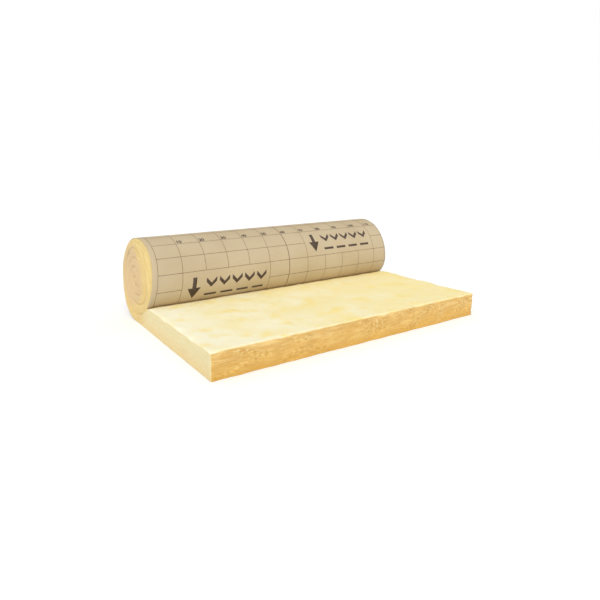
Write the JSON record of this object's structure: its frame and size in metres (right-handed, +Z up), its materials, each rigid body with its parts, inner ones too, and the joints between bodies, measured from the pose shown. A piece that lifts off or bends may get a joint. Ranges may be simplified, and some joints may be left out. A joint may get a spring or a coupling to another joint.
{
  "type": "insulation roll",
  "caption": "Kraft-faced glass wool mat wound into a roll, with its free end unrolled flat on the floor and the paper on the outside.",
  "frame": {"origin": "on the floor below the middle of the part's bounding box", "axes": "+X along the roll's axis, -Y towards the cut end of the unrolled mat, +Z up"},
  "size_m": [1.2, 0.8699, 0.3399],
  "materials": {
    "glass_wool": "soft fibrous wool, matte",
    "kraft_paper": "plain kraft paper, matte"
  },
  "bodies": {
    "root": {"wool_mat": "glass_wool", "kraft_facing": "kraft_paper"}
  },
  "joints": []
}
